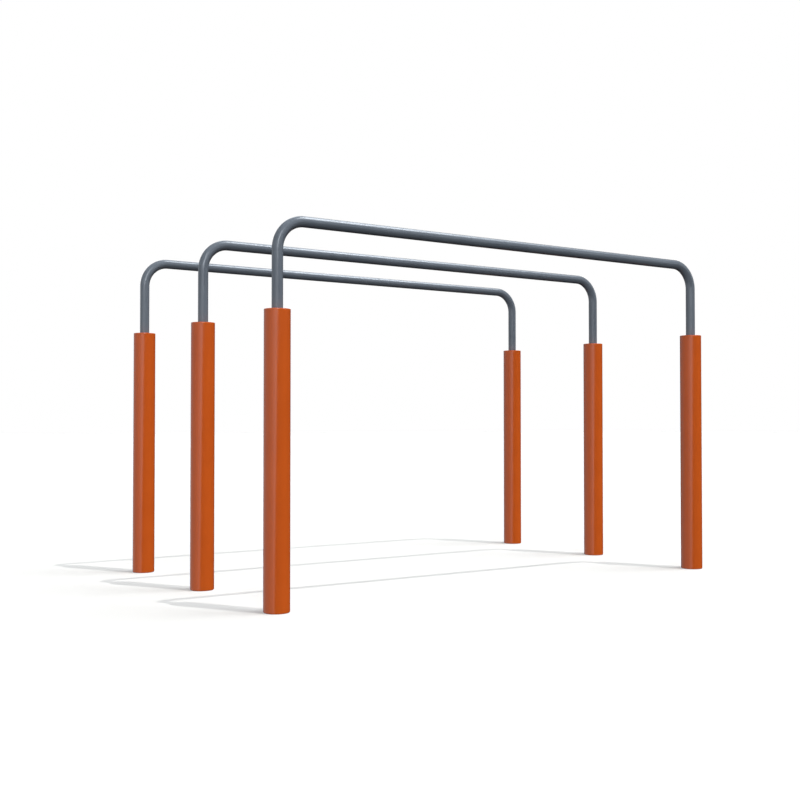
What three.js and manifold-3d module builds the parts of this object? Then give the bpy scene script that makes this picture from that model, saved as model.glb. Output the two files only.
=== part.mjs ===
// Triple parallel bars for an outdoor fitness ground: three bent steel tubes carried by six round posts.
// Millimetres. +X runs along the bars, +Y across them and +Z up. The origin is on the ground, at the centre.

import * as THREE from 'three';
import { mergeVertices } from 'three/addons/utils/BufferGeometryUtils.js';
import Module from 'manifold-3d';

const wasm = await Module();
wasm.setup();

// ---- Driving dimensions ----

const POST_SPACING = 2000;        // between the two posts of one bar, centre to centre
const BAR_SPACING = 600;          // between neighbouring bars, centre to centre
const BAR_HEIGHT = 1300;          // ground to the axis of a bar's level span
const POST_HEIGHT = 1000;         // ground to the top of a post's cap
const BEND_RADIUS = 100;          // of a bar's corners, at the tube's centreline
const LEG_DEPTH = 250;            // how far a bar's leg reaches into its post

const BAR_RADIUS = 19;
const BAR_WALL = 3;
const POST_RADIUS = 44.45;
const POST_WALL = 3;
const POST_FOOT_CHAMFER = 2.5;    // on the outer edge of a post's foot
const CAP_THICKNESS = 5;
const CAP_EDGE_RADIUS = 1.5;

const TOUCH_GAP = 0.3;            // kept between pieces that touch on the real object

const COLLAR_HEIGHT = 30;
const COLLAR_DROP = 20;           // post top to the top of the locking collar
const BUSH_HEIGHT = 30;
const BUSH_LIFT = 5;              // end of the leg to the underside of the guide bush

const SEAL_WALL = 2.7;
const SEAL_LIP_WIDTH = 5.7;
const SEAL_LIP_THICKNESS = 1.5;

const SPIGOT_HEIGHT = 260;        // ground to the top of the spigot inside a post's foot
const SPIGOT_WALL = 5;
const ANCHOR_DISC_THICKNESS = 12;
const ANCHOR_HOLE_RADIUS = 5.5;
const ANCHOR_CIRCLE_RADIUS = 25;
const ANCHOR_HOLES = 4;

const SCREW_RADIUS = 4.8;         // M10, both screws
const SCREW_CHAMFER = 0.8;
const SCREW_RECESS = 0.45;        // a screw's outer end below the post's surface
const DOG_POINT_RADIUS = 3.5;     // the leg screw's plain tip, which enters a hole in the leg
const DOG_POINT_REACH = 2.5;      // how far the tip stands inside the leg's outer surface
const FOOT_SCREW_HEIGHT = 100;

const ROUND_SIDES = 20;           // facets of a turned piece, with corners on the X and Y axes
const BAR_SIDES = 16;
const BORE_SIDES = 12;            // facets of a bar's bore
const SCREW_SIDES = 10;
const DRILL_SIDES = 10;
const BEND_STEPS = 8;
const CAP_EDGE_STEPS = 2;

// ---- Sizes that follow ----

const POST_BORE_RADIUS = POST_RADIUS - POST_WALL;
const INSERT_RADIUS = POST_BORE_RADIUS - TOUCH_GAP;
const LEG_HOLE_RADIUS = clearHole(BAR_RADIUS, ROUND_SIDES);
const SEAL_RADIUS = BAR_RADIUS + TOUCH_GAP + SEAL_WALL;
const CAP_HOLE_RADIUS = clearHole(SEAL_RADIUS, ROUND_SIDES);
const CAP_BOTTOM = POST_HEIGHT - CAP_THICKNESS;
const COLLAR_TOP = POST_HEIGHT - COLLAR_DROP;
const LEG_SCREW_HEIGHT = COLLAR_TOP - COLLAR_HEIGHT / 2;
const LEG_END = POST_HEIGHT - LEG_DEPTH;
const SCREW_HOLE_RADIUS = clearHole(SCREW_RADIUS, DRILL_SIDES);
const SCREW_OUTER_END = POST_RADIUS - SCREW_RECESS;

const ROWS = { front: -BAR_SPACING, middle: 0, rear: BAR_SPACING };
const SIDES = { left: -POST_SPACING / 2, right: POST_SPACING / 2 };

// ---- Materials ----

const orangeCoat = new THREE.MeshStandardMaterial({ color: 0xc05a20, roughness: 0.35, metalness: 0 });
const greyCoat = new THREE.MeshStandardMaterial({ color: 0x6f767f, roughness: 0.35, metalness: 0.2 });
const zincPlate = new THREE.MeshStandardMaterial({ color: 0xa9adb1, roughness: 0.45, metalness: 1 });
const blackRubber = new THREE.MeshStandardMaterial({ color: 0x1b1b1c, roughness: 0.8, metalness: 0 });
const blackNylon = new THREE.MeshStandardMaterial({ color: 0x262729, roughness: 0.6, metalness: 0 });

// ---- Shapes ----

// The corner radius of a round hole with flat facets that clears a shaft all round.
function clearHole(shaftRadius, sides) {
  return (shaftRadius + TOUCH_GAP) / Math.cos(Math.PI / sides);
}

function regularPolygon(radius, sides) {
  return Array.from({ length: sides }, (_, i) => {
    const angle = (2 * Math.PI * i) / sides;
    return new THREE.Vector2(radius * Math.cos(angle), radius * Math.sin(angle));
  });
}

// A solid turned about the vertical axis, from [radius, height] pairs in counter-clockwise order.
function turned(profile, sides = ROUND_SIDES) {
  const points = profile.map(([radius, height]) => new THREE.Vector2(radius, height));
  return new THREE.LatheGeometry(points, sides).rotateX(Math.PI / 2);
}

function ring(innerRadius, outerRadius, bottom, top) {
  return turned([
    [innerRadius, bottom],
    [outerRadius, bottom],
    [outerRadius, top],
    [innerRadius, top],
    [innerRadius, bottom],
  ]);
}

function toSolid(geometry) {
  const bare = geometry.clone();
  bare.deleteAttribute('normal');
  bare.deleteAttribute('uv');
  const merged = mergeVertices(bare);
  return new wasm.Manifold(new wasm.Mesh({
    numProp: 3,
    vertProperties: Float32Array.from(merged.attributes.position.array),
    triVerts: Uint32Array.from(merged.index.array),
  }));
}

function toGeometry(solid) {
  const mesh = solid.getMesh();
  const geometry = new THREE.BufferGeometry();
  geometry.setAttribute('position', new THREE.BufferAttribute(mesh.vertProperties, 3));
  geometry.setIndex(new THREE.BufferAttribute(mesh.triVerts, 1));
  return geometry;
}

// Cuts a round hole along Y at height z, from the axis of the piece at x out through its +Y side.
function drilled(geometry, radius, reach, x, z) {
  const drill = new THREE.CylinderGeometry(radius, radius, reach, DRILL_SIDES).translate(x, reach / 2, z);
  return toGeometry(toSolid(geometry).subtract(toSolid(drill)));
}

// A bar's centreline: leg, bend, level span, bend, leg. It has a station only where the direction changes.
class BarCentreline extends THREE.Curve {
  constructor() {
    super();
    const halfSpan = POST_SPACING / 2;
    const leftBend = this.bendStations(-halfSpan + BEND_RADIUS, Math.PI, Math.PI / 2);
    const rightBend = this.bendStations(halfSpan - BEND_RADIUS, Math.PI / 2, 0);
    this.stations = [
      { point: new THREE.Vector3(-halfSpan, 0, LEG_END), tangent: new THREE.Vector3(0, 0, 1) },
      ...leftBend,
      ...rightBend,
      { point: new THREE.Vector3(halfSpan, 0, LEG_END), tangent: new THREE.Vector3(0, 0, -1) },
    ];
  }

  bendStations(centreX, startAngle, endAngle) {
    return Array.from({ length: BEND_STEPS + 1 }, (_, i) => {
      const angle = THREE.MathUtils.lerp(startAngle, endAngle, i / BEND_STEPS);
      const outward = new THREE.Vector3(Math.cos(angle), 0, Math.sin(angle));
      const centre = new THREE.Vector3(centreX, 0, BAR_HEIGHT - BEND_RADIUS);
      return {
        point: centre.addScaledVector(outward, BEND_RADIUS),
        tangent: new THREE.Vector3(outward.z, 0, -outward.x),
      };
    });
  }

  stationAt(t) {
    return this.stations[Math.round(t * (this.stations.length - 1))];
  }

  getPoint(t, target = new THREE.Vector3()) {
    return target.copy(this.stationAt(t).point);
  }

  getTangentAt(t, target = new THREE.Vector3()) {
    return target.copy(this.stationAt(t).tangent);
  }

  getSpacedPoints() {
    return this.stations.map((station) => station.point.clone());
  }
}

// ---- Pieces ----

// One bent tube, with a hole in each leg for the tip of its locking screw.
function barGeometry() {
  const section = new THREE.Shape(regularPolygon(BAR_RADIUS, BAR_SIDES));
  section.holes.push(new THREE.Path(regularPolygon(BAR_RADIUS - BAR_WALL, BORE_SIDES)));
  const centreline = new BarCentreline();
  const tube = new THREE.ExtrudeGeometry(section, {
    steps: centreline.stations.length - 1,
    extrudePath: centreline,
  });
  const holeRadius = clearHole(DOG_POINT_RADIUS, DRILL_SIDES);
  return Object.values(SIDES).reduce(
    (leg, x) => drilled(leg, holeRadius, BAR_RADIUS + BAR_WALL, x, LEG_SCREW_HEIGHT),
    tube,
  );
}

// A tube with a chamfered foot, and with one hole for the leg screw and one for the foot screw, both facing the rear.
function postGeometry() {
  const top = CAP_BOTTOM - TOUCH_GAP;
  const tube = turned([
    [POST_BORE_RADIUS, 0],
    [POST_RADIUS - POST_FOOT_CHAMFER, 0],
    [POST_RADIUS, POST_FOOT_CHAMFER],
    [POST_RADIUS, top],
    [POST_BORE_RADIUS, top],
    [POST_BORE_RADIUS, 0],
  ]);
  return [LEG_SCREW_HEIGHT, FOOT_SCREW_HEIGHT].reduce(
    (post, height) => drilled(post, SCREW_HOLE_RADIUS, POST_RADIUS + POST_WALL, 0, height),
    tube,
  );
}

// A disc with a hole for the leg and its seal, and a rounded upper edge.
function capGeometry() {
  const edge = Array.from({ length: CAP_EDGE_STEPS + 1 }, (_, i) => {
    const angle = (Math.PI / 2) * (i / CAP_EDGE_STEPS);
    return [
      POST_RADIUS - CAP_EDGE_RADIUS * (1 - Math.cos(angle)),
      POST_HEIGHT - CAP_EDGE_RADIUS * (1 - Math.sin(angle)),
    ];
  });
  return turned([
    [CAP_HOLE_RADIUS, CAP_BOTTOM],
    [POST_RADIUS, CAP_BOTTOM],
    ...edge,
    [CAP_HOLE_RADIUS, POST_HEIGHT],
    [CAP_HOLE_RADIUS, CAP_BOTTOM],
  ]);
}

// A rubber sleeve in the cap's hole, with a thin lip on top of the cap.
function sealGeometry() {
  const lipBottom = POST_HEIGHT + TOUCH_GAP;
  const lipRadius = BAR_RADIUS + SEAL_LIP_WIDTH;
  return turned([
    [LEG_HOLE_RADIUS, CAP_BOTTOM],
    [SEAL_RADIUS, CAP_BOTTOM],
    [SEAL_RADIUS, lipBottom],
    [lipRadius, lipBottom],
    [lipRadius, lipBottom + SEAL_LIP_THICKNESS],
    [LEG_HOLE_RADIUS, lipBottom + SEAL_LIP_THICKNESS],
    [LEG_HOLE_RADIUS, CAP_BOTTOM],
  ]);
}

function collarGeometry() {
  const collar = ring(LEG_HOLE_RADIUS, INSERT_RADIUS, COLLAR_TOP - COLLAR_HEIGHT, COLLAR_TOP);
  return drilled(collar, SCREW_HOLE_RADIUS, POST_RADIUS, 0, LEG_SCREW_HEIGHT);
}

function bushGeometry() {
  const bottom = LEG_END + BUSH_LIFT;
  return ring(LEG_HOLE_RADIUS, INSERT_RADIUS, bottom, bottom + BUSH_HEIGHT);
}

function spigotGeometry() {
  const bottom = ANCHOR_DISC_THICKNESS + TOUCH_GAP;
  const tube = ring(INSERT_RADIUS - SPIGOT_WALL, INSERT_RADIUS, bottom, SPIGOT_HEIGHT);
  return drilled(tube, SCREW_HOLE_RADIUS, POST_RADIUS, 0, FOOT_SCREW_HEIGHT);
}

function anchorDiscGeometry() {
  const disc = new THREE.Shape(regularPolygon(INSERT_RADIUS, ROUND_SIDES));
  const centres = regularPolygon(ANCHOR_CIRCLE_RADIUS, ANCHOR_HOLES);
  disc.holes = centres.map((centre) => new THREE.Path(
    regularPolygon(ANCHOR_HOLE_RADIUS, DRILL_SIDES).map((corner) => corner.add(centre)),
  ));
  return new THREE.ExtrudeGeometry(disc, { depth: ANCHOR_DISC_THICKNESS, bevelEnabled: false });
}

// A headless screw along +Y, from its inner end to just below the post's surface.
function screwGeometry(innerEnd, tip, height) {
  const profile = [
    ...tip,
    [SCREW_RADIUS - SCREW_CHAMFER, innerEnd],
    [SCREW_RADIUS, innerEnd + SCREW_CHAMFER],
    [SCREW_RADIUS, SCREW_OUTER_END - SCREW_CHAMFER],
    [SCREW_RADIUS - SCREW_CHAMFER, SCREW_OUTER_END],
    [0, SCREW_OUTER_END],
  ];
  return turned(profile, SCREW_SIDES).rotateX(-Math.PI / 2).translate(0, 0, height);
}

function legScrewGeometry() {
  const tipEnd = BAR_RADIUS - DOG_POINT_REACH;
  const shoulder = BAR_RADIUS + 2 * TOUCH_GAP;
  const tip = [
    [0, tipEnd],
    [DOG_POINT_RADIUS, tipEnd],
    [DOG_POINT_RADIUS, shoulder],
  ];
  return screwGeometry(shoulder, tip, LEG_SCREW_HEIGHT);
}

function footScrewGeometry() {
  const innerEnd = INSERT_RADIUS - SPIGOT_WALL + TOUCH_GAP;
  return screwGeometry(innerEnd, [[0, innerEnd]], FOOT_SCREW_HEIGHT);
}

// ---- Assembly ----

function piece(name, geometry, material) {
  const mesh = new THREE.Mesh(geometry, material);
  mesh.name = name;
  return mesh;
}

const POST_PIECES = [
  ['post', postGeometry(), orangeCoat],
  ['cap', capGeometry(), orangeCoat],
  ['leg_seal', sealGeometry(), blackRubber],
  ['lock_collar', collarGeometry(), zincPlate],
  ['guide_bush', bushGeometry(), blackNylon],
  ['leg_screw', legScrewGeometry(), zincPlate],
  ['spigot', spigotGeometry(), zincPlate],
  ['anchor_disc', anchorDiscGeometry(), zincPlate],
  ['foot_screw', footScrewGeometry(), zincPlate],
];

const parallelBars = new THREE.Group();
const bar = barGeometry();

for (const [row, y] of Object.entries(ROWS)) {
  const barRow = new THREE.Group();
  barRow.position.y = y;
  barRow.add(piece(`bar_${row}`, bar, greyCoat));
  for (const [side, x] of Object.entries(SIDES)) {
    const post = new THREE.Group();
    post.position.x = x;
    post.add(...POST_PIECES.map(([kind, geometry, material]) => piece(`${kind}_${row}_${side}`, geometry, material)));
    barRow.add(post);
  }
  parallelBars.add(barRow);
}

export default parallelBars;
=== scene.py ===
"""Looks for the triple parallel bars: fine meshes, powder coats, a pale floor, studio light and a camera."""

import math

import bmesh
import bpy
from mathutils import Matrix, Vector


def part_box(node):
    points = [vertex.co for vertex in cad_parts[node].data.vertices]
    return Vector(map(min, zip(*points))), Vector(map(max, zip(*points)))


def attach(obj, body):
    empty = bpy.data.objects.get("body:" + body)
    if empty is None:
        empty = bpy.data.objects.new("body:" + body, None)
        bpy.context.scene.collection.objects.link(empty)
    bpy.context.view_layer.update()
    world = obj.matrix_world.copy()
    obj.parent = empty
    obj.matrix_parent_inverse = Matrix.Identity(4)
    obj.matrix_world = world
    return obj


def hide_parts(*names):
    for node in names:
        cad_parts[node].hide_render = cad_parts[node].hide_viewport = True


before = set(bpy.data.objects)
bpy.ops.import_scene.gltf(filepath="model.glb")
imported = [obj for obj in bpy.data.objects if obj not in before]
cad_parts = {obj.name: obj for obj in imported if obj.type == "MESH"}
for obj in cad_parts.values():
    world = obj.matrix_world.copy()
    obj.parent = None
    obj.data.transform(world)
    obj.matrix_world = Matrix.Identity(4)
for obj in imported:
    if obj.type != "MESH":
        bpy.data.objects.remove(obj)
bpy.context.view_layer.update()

# ---- Sizes in metres that the frame's boxes do not give ----

MM = 0.001
BEND_RADIUS = 100 * MM
BAR_WALL = 3 * MM
POST_WALL = 3 * MM
SPIGOT_WALL = 5 * MM
LEG_HOLE_GAP = 0.3 * MM
CAP_EDGE_RADIUS = 1.5 * MM
POST_FOOT_CHAMFER = 2.5 * MM
SEAL_SLEEVE_WALL = 2.7 * MM
SEAL_LIP_THICKNESS = 1.5 * MM
SEAL_ROUNDING = 0.9 * MM
RING_CHAMFER = 1 * MM
BUSH_CHAMFER = 1.5 * MM
ANCHOR_HOLE_RADIUS = 5.5 * MM
ANCHOR_CIRCLE_RADIUS = 25 * MM
ANCHOR_HOLES = 4
SCREW_RADIUS = 4.8 * MM
SCREW_CHAMFER = 0.8 * MM
SCREW_HOLE_RADIUS = 5.3 * MM
DOG_POINT_RADIUS = 3.5 * MM
DOG_POINT_LENGTH = 3.1 * MM
DOG_HOLE_RADIUS = 4.0 * MM
HEX_KEY_ACROSS_FLATS = 5 * MM
HEX_KEY_DEPTH = 4 * MM

ROUND_SIDES = 96
BAR_SIDES = 64
BEND_STEPS = 36
ARC_STEPS = 6
HOLE_SIDES = 32
LONGEST_FACE = 60 * MM
HOLE_LOOPS = 4                           # edge loops above and below a screw hole in a post
HOLE_LOOP_STEP = 3.5 * MM
SHARP_EDGE_DEG = 40

ROWS = ("front", "middle", "rear")
SIDES = ("left", "right")


# ---- Mesh building ----

def arc(centre, radius, start_deg, end_deg, steps=ARC_STEPS):
    """Points [radius, height] of a corner's arc, ends included."""
    points = []
    for i in range(steps + 1):
        angle = math.radians(start_deg + (end_deg - start_deg) * i / steps)
        points.append((centre[0] + radius * math.cos(angle), centre[1] + radius * math.sin(angle)))
    return points


def turned(bm, profile, sides=ROUND_SIDES, closed=True):
    """A solid turned about Z from counter-clockwise [radius, height] points. Radius 0 makes a pole."""
    rings = []
    for radius, height in profile:
        if radius == 0:
            rings.append([bm.verts.new((0, 0, height))])
            continue
        corners = []
        for i in range(sides):
            angle = 2 * math.pi * i / sides
            corners.append(bm.verts.new((radius * math.cos(angle), radius * math.sin(angle), height)))
        rings.append(corners)
    pairs = list(zip(rings, rings[1:]))
    if closed:
        pairs.append((rings[-1], rings[0]))
    for lower, upper in pairs:
        for i in range(sides):
            j = (i + 1) % sides
            corners = [lower[i % len(lower)], lower[j % len(lower)]]
            corners += [upper[j % len(upper)], upper[i % len(upper)]]
            face = list(dict.fromkeys(corners))
            if len(face) > 2:
                bm.faces.new(face)


def swept_tube(bm, stations, radius, wall):
    """A tube along stations of (point, tangent) in the XZ plane, open from end to end."""
    across = Vector((0, 1, 0))
    walls = []
    for wall_radius in (radius, radius - wall):
        rings = []
        for point, tangent in stations:
            outward = tangent.cross(across)
            corners = []
            for i in range(BAR_SIDES):
                angle = 2 * math.pi * i / BAR_SIDES
                offset = across * math.cos(angle) + outward * math.sin(angle)
                corners.append(bm.verts.new(point + offset * wall_radius))
            rings.append(corners)
        walls.append(rings)
    outer, inner = walls
    for i in range(BAR_SIDES):
        j = (i + 1) % BAR_SIDES
        for a, b in zip(outer, outer[1:]):
            bm.faces.new((a[i], a[j], b[j], b[i]))
        for a, b in zip(inner, inner[1:]):
            bm.faces.new((a[j], a[i], b[i], b[j]))
        bm.faces.new((outer[0][j], outer[0][i], inner[0][i], inner[0][j]))
        bm.faces.new((outer[-1][i], outer[-1][j], inner[-1][j], inner[-1][i]))


def make_object(name, bm):
    bmesh.ops.recalc_face_normals(bm, faces=bm.faces[:])
    mesh = bpy.data.meshes.new(name)
    bm.to_mesh(mesh)
    bm.free()
    thing = bpy.data.objects.new(name, mesh)
    bpy.context.scene.collection.objects.link(thing)
    return thing


def cut(thing, tools):
    """Subtracts the tool objects from thing and removes them."""
    for tool in tools:
        boolean = thing.modifiers.new("cut", "BOOLEAN")
        boolean.operation = "DIFFERENCE"
        boolean.solver = "EXACT"
        boolean.object = tool
    graph = bpy.context.evaluated_depsgraph_get()
    mesh = bpy.data.meshes.new_from_object(thing.evaluated_get(graph), depsgraph=graph)
    thing.modifiers.clear()
    thing.data = mesh
    for tool in tools:
        bpy.data.objects.remove(tool)


def prism(radius, length, sides, centre, turn=Matrix.Identity(3)):
    """A cutting tool: a prism of that length centred at centre, along Z before turn."""
    bm = bmesh.new()
    end = length / 2
    turned(bm, [(0, -end), (radius, -end), (radius, end), (0, end)], sides, closed=False)
    tool = make_object("tool", bm)
    tool.matrix_world = Matrix.Translation(centre) @ turn.to_4x4()
    return tool


def drill_along_y(radius, centre, length):
    return prism(radius, length, HOLE_SIDES, centre, Matrix.Rotation(math.radians(90), 3, "X"))


def shade(thing):
    """Smooth shading, with sharp edges kept crisp."""
    for polygon in thing.data.polygons:
        polygon.use_smooth = True
    thing.data.set_sharp_from_angle(angle=math.radians(SHARP_EDGE_DEG))


def finish_piece(thing, node, material):
    """Puts the piece in place of its CAD node."""
    shade(thing)
    thing.data.materials.clear()
    thing.data.materials.append(material)
    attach(thing, "root")
    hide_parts(node)


def middle_of(node):
    low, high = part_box(node)
    return (low + high) / 2


def axis_of(node):
    """The point on the ground under a piece's middle."""
    middle = middle_of(node)
    return Vector((middle.x, middle.y, 0))


def heights(node):
    low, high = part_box(node)
    return low.z, high.z


def radius_of(node):
    low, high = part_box(node)
    return (high.x - low.x) / 2


# ---- Pieces ----

def stations_of_bar(low, high, radius):
    """Points and tangents along a bar's centreline: leg, bend, level span, bend, leg."""
    left, right, top = low.x + radius, high.x - radius, high.z - radius
    y = (low.y + high.y) / 2
    stations = [(Vector((left, y, low.z)), Vector((0, 0, 1)))]
    for centre_x, start, end in ((left + BEND_RADIUS, 180, 90), (right - BEND_RADIUS, 90, 0)):
        for x, z in arc((centre_x, top - BEND_RADIUS), BEND_RADIUS, start, end, BEND_STEPS):
            outward = Vector((x - centre_x, 0, z - top + BEND_RADIUS)).normalized()
            stations.append((Vector((x, y, z)), Vector((outward.z, 0, -outward.x))))
    stations.append((Vector((right, y, low.z)), Vector((0, 0, -1))))
    return subdivided(stations)


def subdivided(stations):
    """The same line with stations closer together, so that no face is a long sliver."""
    fine = [stations[0]]
    for (start, tangent_in), (end, tangent_out) in zip(stations, stations[1:]):
        count = max(1, math.ceil((end - start).length / LONGEST_FACE))
        for i in range(1, count):
            fine.append((start.lerp(end, i / count), tangent_in))
        fine.append((end, tangent_out))
    return fine


def build_bar(row, material):
    node = f"bar_{row}"
    low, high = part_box(node)
    radius = (high.y - low.y) / 2
    bm = bmesh.new()
    swept_tube(bm, stations_of_bar(low, high, radius), radius, BAR_WALL)
    bar = make_object(f"{node}_tube", bm)
    drills = []
    for side in SIDES:
        screw = middle_of(f"leg_screw_{row}_{side}")
        wall = Vector((screw.x, axis_of(node).y + radius, screw.z))
        drills.append(drill_along_y(DOG_HOLE_RADIUS, wall, 2 * radius))
    cut(bar, drills)
    finish_piece(bar, node, material)


def upright_loops(bottom, top, near):
    """Heights of edge loops up a wall, close together round each height in near."""
    count = math.ceil((top - bottom) / LONGEST_FACE)
    levels = {bottom + (top - bottom) * i / count for i in range(count)}
    levels.add(top)
    clear = (HOLE_LOOPS + 1) * HOLE_LOOP_STEP
    for height in near:
        levels = {z for z in levels if abs(z - height) > clear or z in (bottom, top)}
        levels.update(height + offset * HOLE_LOOP_STEP for offset in range(-HOLE_LOOPS, HOLE_LOOPS + 1))
    return sorted(levels)


def build_post(place, material):
    node = f"post_{place}"
    bottom, top = heights(node)[0], heights(f"cap_{place}")[0]
    outer = radius_of(node)
    inner = outer - POST_WALL
    screws = [middle_of(f"{kind}_{place}") for kind in ("leg_screw", "foot_screw")]
    loops = upright_loops(bottom + POST_FOOT_CHAMFER, top, [screw.z for screw in screws])
    profile = [(inner, bottom), (outer - POST_FOOT_CHAMFER, bottom)]
    profile += [(outer, z) for z in loops] + [(inner, z) for z in reversed(loops)]
    bm = bmesh.new()
    turned(bm, profile)
    bmesh.ops.translate(bm, verts=bm.verts[:], vec=axis_of(node))
    post = make_object(f"{node}_tube", bm)
    outwards = Vector((0, inner / 2, 0))
    cut(post, [drill_along_y(SCREW_HOLE_RADIUS, screw + outwards, outer) for screw in screws])
    finish_piece(post, node, material)


def build_turned(node, suffix, material, profile, drills=()):
    bm = bmesh.new()
    turned(bm, profile)
    bmesh.ops.translate(bm, verts=bm.verts[:], vec=axis_of(node))
    thing = make_object(f"{node}_{suffix}", bm)
    if drills:
        cut(thing, drills)
    finish_piece(thing, node, material)


def build_cap(place, material, leg_radius):
    node = f"cap_{place}"
    bottom, top = heights(node)
    outer = radius_of(node)
    hole = leg_radius + LEG_HOLE_GAP + SEAL_SLEEVE_WALL + LEG_HOLE_GAP
    edge = arc((outer - CAP_EDGE_RADIUS, top - CAP_EDGE_RADIUS), CAP_EDGE_RADIUS, 0, 90)
    profile = [(hole, bottom), (outer, bottom)] + edge + [(hole, top)]
    build_turned(node, "disc", material, profile)


def build_seal(place, material, leg_radius):
    node = f"leg_seal_{place}"
    bottom, top = heights(node)
    bore = leg_radius + LEG_HOLE_GAP
    sleeve = bore + SEAL_SLEEVE_WALL
    lip = radius_of(node)
    lip_bottom = top - SEAL_LIP_THICKNESS
    inner_rounding = SEAL_ROUNDING / 2
    profile = [(bore, bottom), (sleeve, bottom), (sleeve, lip_bottom), (lip, lip_bottom)]
    profile += arc((lip - SEAL_ROUNDING, top - SEAL_ROUNDING), SEAL_ROUNDING, 0, 90)
    profile += arc((bore + inner_rounding, top - inner_rounding), inner_rounding, 90, 180)
    build_turned(node, "sleeve", material, profile)


def ring_profile(inner, outer, bottom, top, chamfer):
    """A ring's cross-section, with all four edges chamfered."""
    return [(inner + chamfer, bottom), (outer - chamfer, bottom), (outer, bottom + chamfer),
            (outer, top - chamfer), (outer - chamfer, top), (inner + chamfer, top),
            (inner, top - chamfer), (inner, bottom + chamfer)]


def build_ring(node, suffix, material, inner, chamfer, drills=()):
    bottom, top = heights(node)
    profile = ring_profile(inner, radius_of(node), bottom, top, chamfer)
    build_turned(node, suffix, material, profile, drills)


def build_anchor_disc(place, material):
    node = f"anchor_disc_{place}"
    bottom, top = heights(node)
    outer = radius_of(node)
    profile = [(0, bottom), (outer - RING_CHAMFER, bottom), (outer, bottom + RING_CHAMFER),
               (outer, top - RING_CHAMFER), (outer - RING_CHAMFER, top), (0, top)]
    bm = bmesh.new()
    turned(bm, profile, closed=False)
    bmesh.ops.translate(bm, verts=bm.verts[:], vec=axis_of(node))
    disc = make_object(f"{node}_plate", bm)
    drills = []
    for i in range(ANCHOR_HOLES):
        angle = 2 * math.pi * i / ANCHOR_HOLES
        offset = Vector((math.cos(angle), math.sin(angle), 0)) * ANCHOR_CIRCLE_RADIUS
        centre = middle_of(node) + offset
        drills.append(prism(ANCHOR_HOLE_RADIUS, 4 * (top - bottom), HOLE_SIDES, centre))
    cut(disc, drills)
    finish_piece(disc, node, material)


def build_screw(node, material, tip):
    """A headless screw along Y, with a hexagon socket in its outer end."""
    low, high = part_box(node)
    length = high.y - low.y
    profile = [(0, 0)]
    start = 0
    if tip:
        start = DOG_POINT_LENGTH
        tip_chamfer = SCREW_CHAMFER / 2
        profile += [(DOG_POINT_RADIUS - tip_chamfer, 0), (DOG_POINT_RADIUS, tip_chamfer),
                    (DOG_POINT_RADIUS, start)]
    profile += [(SCREW_RADIUS - SCREW_CHAMFER, start), (SCREW_RADIUS, start + SCREW_CHAMFER),
                (SCREW_RADIUS, length - SCREW_CHAMFER), (SCREW_RADIUS - SCREW_CHAMFER, length), (0, length)]
    bm = bmesh.new()
    turned(bm, profile, HOLE_SIDES, closed=False)
    screw = make_object(f"{node}_body", bm)
    hexagon_radius = HEX_KEY_ACROSS_FLATS / 2 / math.cos(math.pi / 6)
    cut(screw, [prism(hexagon_radius, 2 * HEX_KEY_DEPTH, 6, Vector((0, 0, length)))])
    middle = middle_of(node)
    place = Matrix.Translation((middle.x, low.y, middle.z))
    screw.data.transform(place @ Matrix.Rotation(math.radians(-90), 4, "X"))
    finish_piece(screw, node, material)


# ---- Materials (noise scales are in cycles per metre) ----

SPECK_SHARE = 0.35                       # of fine specks in a powder coat's colour, beside its clouds
ROUGHNESS_SPREAD = 0.03
NOISE_MIDDLE = (0.3, 0.7)


def new_material(name):
    material = bpy.data.materials.new(name)
    material.use_nodes = True
    nodes = material.node_tree.nodes
    return material, nodes, material.node_tree.links, nodes["Principled BSDF"]


def from_srgb(red, green, blue):
    """A colour given as 0-255 display values, in linear light."""
    linear = []
    for value in (red, green, blue):
        share = value / 255
        linear.append(share / 12.92 if share <= 0.04045 else ((share + 0.055) / 1.055) ** 2.4)
    return (*linear, 1)


def noise(nodes, links, scale, detail):
    """Noise in object space, with its scale in cycles per metre."""
    place = nodes.new("ShaderNodeTexCoord")
    texture = nodes.new("ShaderNodeTexNoise")
    texture.inputs["Scale"].default_value = scale
    texture.inputs["Detail"].default_value = detail
    links.new(place.outputs["Object"], texture.inputs["Vector"])
    return texture.outputs["Fac"]


def map_range(nodes, links, value, low, high):
    """Stretches the middle of a noise's range to low and high."""
    node = nodes.new("ShaderNodeMapRange")
    node.inputs["From Min"].default_value, node.inputs["From Max"].default_value = NOISE_MIDDLE
    node.inputs["To Min"].default_value = low
    node.inputs["To Max"].default_value = high
    links.new(value, node.inputs["Value"])
    return node.outputs["Result"]


def mix_colours(nodes, links, factor, first, second):
    node = nodes.new("ShaderNodeMix")
    node.data_type = "RGBA"
    links.new(factor, node.inputs["Factor"])
    for socket, colour in ((node.inputs["A"], first), (node.inputs["B"], second)):
        socket.default_value = colour
    return node.outputs["Result"]


def bump(nodes, links, height, strength, distance, normal=None):
    node = nodes.new("ShaderNodeBump")
    node.inputs["Strength"].default_value = strength
    node.inputs["Distance"].default_value = distance
    links.new(height, node.inputs["Height"])
    if normal is not None:
        links.new(normal, node.inputs["Normal"])
    return node.outputs["Normal"]


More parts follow.
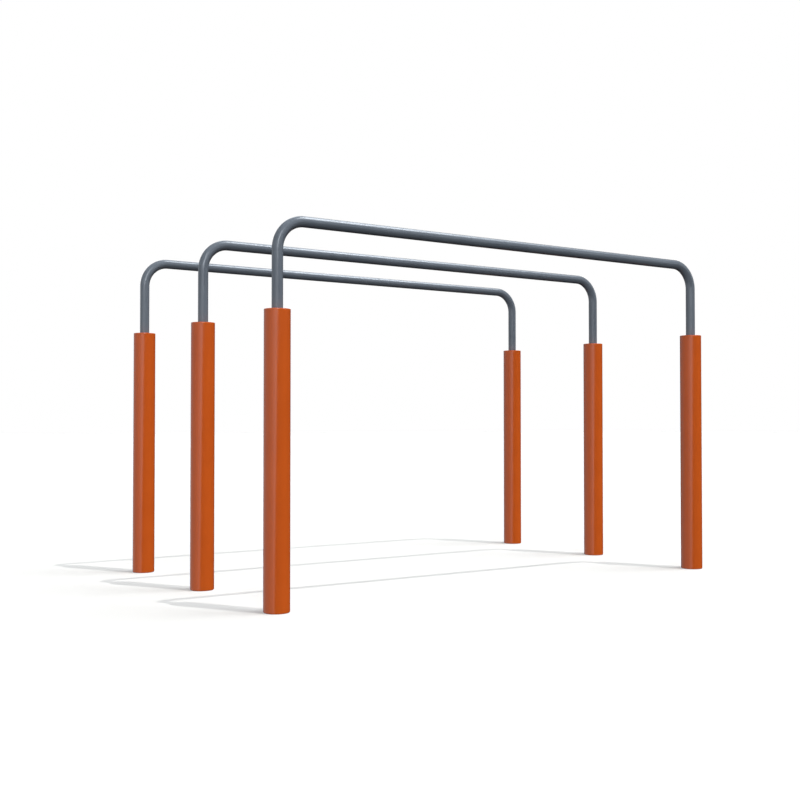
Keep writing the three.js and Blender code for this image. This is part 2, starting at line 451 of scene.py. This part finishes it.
def powder_coat(name, light, dark, roughness):
    """Oven-cured powder paint: a slightly uneven colour, an orange-peel skin and fine specks."""
    material, nodes, links, shader = new_material(name)
    cloud = map_range(nodes, links, noise(nodes, links, 9, 3), 0, 1)
    specks = map_range(nodes, links, noise(nodes, links, 900, 1), 0, 1)
    blend = nodes.new("ShaderNodeMath")
    blend.operation = "MULTIPLY_ADD"
    links.new(specks, blend.inputs[0])
    blend.inputs[1].default_value = SPECK_SHARE
    links.new(cloud, blend.inputs[2])
    links.new(mix_colours(nodes, links, blend.outputs["Value"], dark, light), shader.inputs["Base Color"])
    patches = noise(nodes, links, 22, 3)
    links.new(map_range(nodes, links, patches, roughness - ROUGHNESS_SPREAD, roughness + ROUGHNESS_SPREAD),
              shader.inputs["Roughness"])
    peel = bump(nodes, links, noise(nodes, links, 260, 2), 0.04, 0.6 * MM)
    skin = bump(nodes, links, noise(nodes, links, 1100, 1), 0.03, 0.15 * MM, peel)
    links.new(skin, shader.inputs["Normal"])
    shader.inputs["IOR"].default_value = 1.5
    return material


def zinc(name):
    """Zinc plate: a dull bright metal with faint crystal patches."""
    material, nodes, links, shader = new_material(name)
    patches = map_range(nodes, links, noise(nodes, links, 120, 3), 0, 1)
    links.new(mix_colours(nodes, links, patches, (0.36, 0.38, 0.40, 1), (0.56, 0.58, 0.60, 1)),
              shader.inputs["Base Color"])
    links.new(map_range(nodes, links, noise(nodes, links, 60, 2), 0.34, 0.48), shader.inputs["Roughness"])
    links.new(bump(nodes, links, noise(nodes, links, 700, 2), 0.15, 0.2 * MM), shader.inputs["Normal"])
    shader.inputs["Metallic"].default_value = 1.0
    return material


def dull_black(name, light, dark, roughness, grain_scale):
    """Moulded rubber or nylon, with a fine grain."""
    material, nodes, links, shader = new_material(name)
    grain = map_range(nodes, links, noise(nodes, links, grain_scale, 2), 0, 1)
    links.new(mix_colours(nodes, links, grain, dark, light), shader.inputs["Base Color"])
    patches = noise(nodes, links, 90, 2)
    spread = 2 * ROUGHNESS_SPREAD
    links.new(map_range(nodes, links, patches, roughness - spread, roughness + spread),
              shader.inputs["Roughness"])
    skin = bump(nodes, links, noise(nodes, links, grain_scale, 2), 0.2, 0.2 * MM)
    links.new(skin, shader.inputs["Normal"])
    return material


# ---- Stage, light and camera ----

FLOOR_HALF_SIZE = 60.0
FLOOR_COLOUR = (0.56, 0.545, 0.515, 1)
FLOOR_GLOW = 0.275                       # the floor gives out a little light of its own
SUN_DIRECTION = (0.191, -0.336, 1.0)     # from the ground towards the sun
SUN_STRENGTH = 1.7
SUN_WIDTH_DEG = 0.3

# Overhead soft boxes: strength, and the edges in X and Y on a plane one unit above the object.
OVERHEAD_BOXES = (
    (4.6, (0.52, 0.76), (-0.78, 0.56)),
    (2.0, (0.71, 0.97), (-0.40, 0.60)),
)
OVERHEAD_EDGE = 0.06
# A round bright patch beside them: strength, azimuth, elevation and half width.
OVERHEAD_PATCH = (12.5, -28, 63, 15)
# Tall soft boxes, and a dim band below the horizon: strength, azimuths of the sides, elevations of the ends.
TALL_BOXES = (
    (6.0, (-119, -99), (10.5, 40)),
    (0.6, (-95, -10), (8, 16)),
    (0.1, (-140, 0), (-40, -13)),
    (1.2, (49, 79), (15, 69)),
)
TALL_BOX_EDGE = 0.03
# The glow on the left: an even part, and one that is brightest at its sharp edge.
GLOW_STRENGTH = 0.6
GLOW_PEAK = (1.0, -125, 10)              # strength, azimuth and elevation
GLOW_PEAK_POWER = 8
GLOW_PLANE = (147.4, 56.0)               # the heading of the normal of the plane that cuts it off sharply
GLOW_PLANE_EDGE = 0.01
GLOW_FADE_AZIMUTH_DEG = 76
GLOW_FADE = (-0.10, 0.25)
GLOW_HEIGHTS = (-0.35, 0.45)
GLOW_HEIGHT_EDGE = 0.05
DARK_STRENGTH = 0.03                     # everywhere else
LIGHT_TINT = (0.94, 1.0, 1.07, 1)

CAMERA_PLACE = (-2.703, -3.864, 0.622)
CAMERA_YAW_DEG = 33.888                  # from +Y towards +X
CAMERA_PITCH_DEG = 1.205
CAMERA_LENS = 49.83


def build_floor():
    bm = bmesh.new()
    bmesh.ops.create_grid(bm, x_segments=1, y_segments=1, size=FLOOR_HALF_SIZE)
    floor = make_object("floor", bm)
    material, _, _, shader = new_material("pale_floor")
    shader.inputs["Base Color"].default_value = FLOOR_COLOUR
    shader.inputs["Roughness"].default_value = 1.0
    shader.inputs["Specular IOR Level"].default_value = 0.0
    shader.inputs["Emission Color"].default_value = (1, 1, 1, 1)
    shader.inputs["Emission Strength"].default_value = FLOOR_GLOW
    floor.data.materials.append(material)
    floor.visible_diffuse = False
    floor.visible_glossy = False


def build_sun():
    light = bpy.data.lights.new("sun", "SUN")
    light.energy = SUN_STRENGTH
    light.angle = math.radians(SUN_WIDTH_DEG)
    sun = bpy.data.objects.new("sun", light)
    sun.visible_glossy = False
    sun.rotation_euler = Vector(SUN_DIRECTION).to_track_quat("Z", "Y").to_euler()
    bpy.context.scene.collection.objects.link(sun)


def build_camera():
    data = bpy.data.cameras.new("camera")
    data.lens = CAMERA_LENS
    data.sensor_width = 36.0
    camera = bpy.data.objects.new("camera", data)
    camera.location = CAMERA_PLACE
    camera.rotation_euler = (math.radians(90 + CAMERA_PITCH_DEG), 0, math.radians(-CAMERA_YAW_DEG))
    bpy.context.scene.collection.objects.link(camera)
    bpy.context.scene.camera = camera


class Graph:
    """Small helpers for the arithmetic of the world's node tree."""

    def __init__(self, tree):
        self.nodes = tree.nodes
        self.links = tree.links

    def feed(self, socket, value):
        if isinstance(value, bpy.types.NodeSocket):
            self.links.new(value, socket)
        else:
            socket.default_value = value

    def math(self, operation, *values):
        node = self.nodes.new("ShaderNodeMath")
        node.operation = operation
        for socket, value in zip(node.inputs, values):
            self.feed(socket, value)
        return node.outputs["Value"]

    def dot(self, vector, direction):
        node = self.nodes.new("ShaderNodeVectorMath")
        node.operation = "DOT_PRODUCT"
        self.links.new(vector, node.inputs[0])
        node.inputs[1].default_value = direction
        return node.outputs["Value"]

    def ramp(self, value, start, end):
        """0 below start and 1 above end, eased between them."""
        node = self.nodes.new("ShaderNodeMapRange")
        node.interpolation_type = "SMOOTHERSTEP"
        self.links.new(value, node.inputs["Value"])
        node.inputs["From Min"].default_value = start
        node.inputs["From Max"].default_value = end
        return node.outputs["Result"]

    def between(self, value, edges, softness):
        """1 between the two edges and 0 outside them, with soft edges."""
        rising = self.ramp(value, edges[0] - softness, edges[0] + softness)
        return self.math("MULTIPLY", rising, self.ramp(value, edges[1] + softness, edges[1] - softness))

    def product(self, strength, *shapes):
        for shape in shapes:
            strength = self.math("MULTIPLY", shape, strength)
        return strength


def heading(azimuth_deg, elevation_deg=0.0):
    """The unit vector that way, with azimuth counted from +X towards +Y."""
    azimuth, elevation = math.radians(azimuth_deg), math.radians(elevation_deg)
    level = math.cos(elevation)
    return (math.cos(azimuth) * level, math.sin(azimuth) * level, math.sin(elevation))


def overhead_lights(g, direction, height):
    """The strengths of the bright patch and of the soft boxes overhead."""
    strength, azimuth, elevation, half_width = OVERHEAD_PATCH
    towards_patch = g.dot(direction, heading(azimuth, elevation))
    lights = [g.product(strength, g.ramp(towards_patch, math.cos(math.radians(half_width)), 1))]
    above = g.math("MAXIMUM", height, 0.001)
    across_x, across_y = (g.math("DIVIDE", g.dot(direction, axis), above) for axis in ((1, 0, 0), (0, 1, 0)))
    for strength, x_edges, y_edges in OVERHEAD_BOXES:
        lights.append(g.product(strength, g.between(across_x, x_edges, OVERHEAD_EDGE),
                                g.between(across_y, y_edges, OVERHEAD_EDGE)))
    return lights


def tall_lights(g, direction, height):
    lights = []
    for strength, (start, end), elevations in TALL_BOXES:
        sides = [g.ramp(g.dot(direction, heading(azimuth)), -TALL_BOX_EDGE, TALL_BOX_EDGE)
                 for azimuth in (start + 90, end - 90)]
        ends = [math.sin(math.radians(elevation)) for elevation in elevations]
        lights.append(g.product(strength, *sides, g.between(height, ends, TALL_BOX_EDGE)))
    return lights


def glow_light(g, direction, height):
    fade = g.ramp(g.dot(direction, heading(GLOW_FADE_AZIMUTH_DEG + 90)), *GLOW_FADE)
    strength, azimuth, elevation = GLOW_PEAK
    towards_peak = g.math("MAXIMUM", g.dot(direction, heading(azimuth, elevation)), 0)
    peak = g.product(strength, g.math("POWER", towards_peak, GLOW_PEAK_POWER))
    glow = g.math("ADD", g.product(GLOW_STRENGTH, fade), peak)
    inside = g.ramp(g.dot(direction, heading(*GLOW_PLANE)), -GLOW_PLANE_EDGE, GLOW_PLANE_EDGE)
    return g.product(glow, inside, g.between(height, GLOW_HEIGHTS, GLOW_HEIGHT_EDGE))


def build_world():
    """Soft boxes and a glow for light and reflections, with a plain white backdrop for the camera."""
    world = bpy.data.worlds.new("world")
    bpy.context.scene.world = world
    world.use_nodes = True
    tree = world.node_tree
    tree.nodes.clear()
    g = Graph(tree)
    direction = tree.nodes.new("ShaderNodeTexCoord").outputs["Generated"]
    height = g.dot(direction, (0, 0, 1))
    lights = overhead_lights(g, direction, height) + tall_lights(g, direction, height)
    lights.append(glow_light(g, direction, height))
    total = DARK_STRENGTH
    for light in lights:
        total = g.math("ADD", light, total)

    lit = tree.nodes.new("ShaderNodeBackground")
    lit.inputs["Color"].default_value = LIGHT_TINT
    g.links.new(total, lit.inputs["Strength"])

    white = tree.nodes.new("ShaderNodeBackground")
    white.inputs["Color"].default_value = (1, 1, 1, 1)
    white.inputs["Strength"].default_value = 1.0
    seen = tree.nodes.new("ShaderNodeLightPath").outputs["Is Camera Ray"]
    either = tree.nodes.new("ShaderNodeMixShader")
    g.links.new(seen, either.inputs[0])
    g.links.new(lit.outputs[0], either.inputs[1])
    g.links.new(white.outputs[0], either.inputs[2])
    output = tree.nodes.new("ShaderNodeOutputWorld")
    g.links.new(either.outputs[0], output.inputs["Surface"])


# ---- Assembly ----

def build_object():
    orange = powder_coat("orange_powder_coat", from_srgb(220, 96, 30), from_srgb(214, 92, 28), 0.16)
    grey = powder_coat("grey_powder_coat", from_srgb(115, 121, 128), from_srgb(107, 113, 121), 0.20)
    metal = zinc("zinc_plated_steel")
    rubber = dull_black("black_rubber", from_srgb(40, 40, 42), from_srgb(26, 26, 28), 0.75, 500)
    nylon = dull_black("black_nylon", from_srgb(46, 47, 50), from_srgb(36, 37, 39), 0.5, 900)
    for row in ROWS:
        build_bar(row, grey)
        low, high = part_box(f"bar_{row}")
        leg_radius = (high.y - low.y) / 2
        leg_hole = leg_radius + LEG_HOLE_GAP
        for side in SIDES:
            place = f"{row}_{side}"
            leg_screw, foot_screw = (middle_of(f"{kind}_{place}") for kind in ("leg_screw", "foot_screw"))
            build_post(place, orange)
            build_cap(place, orange, leg_radius)
            build_seal(place, rubber, leg_radius)
            insert_radius = radius_of(f"spigot_{place}")
            collar_drill = drill_along_y(SCREW_HOLE_RADIUS, leg_screw, 2 * insert_radius)
            build_ring(f"lock_collar_{place}", "ring", metal, leg_hole, RING_CHAMFER,
                       [collar_drill])
            build_ring(f"guide_bush_{place}", "ring", nylon, leg_hole, BUSH_CHAMFER)
            spigot_bore = insert_radius - SPIGOT_WALL
            spigot_drill = drill_along_y(SCREW_HOLE_RADIUS, foot_screw, insert_radius)
            build_ring(f"spigot_{place}", "tube", metal, spigot_bore, RING_CHAMFER,
                       [spigot_drill])
            build_anchor_disc(place, metal)
            build_screw(f"leg_screw_{place}", metal, tip=True)
            build_screw(f"foot_screw_{place}", metal, tip=False)


build_object()
build_floor()
build_sun()
build_world()
build_camera()
bpy.context.scene.view_settings.view_transform = "Standard"
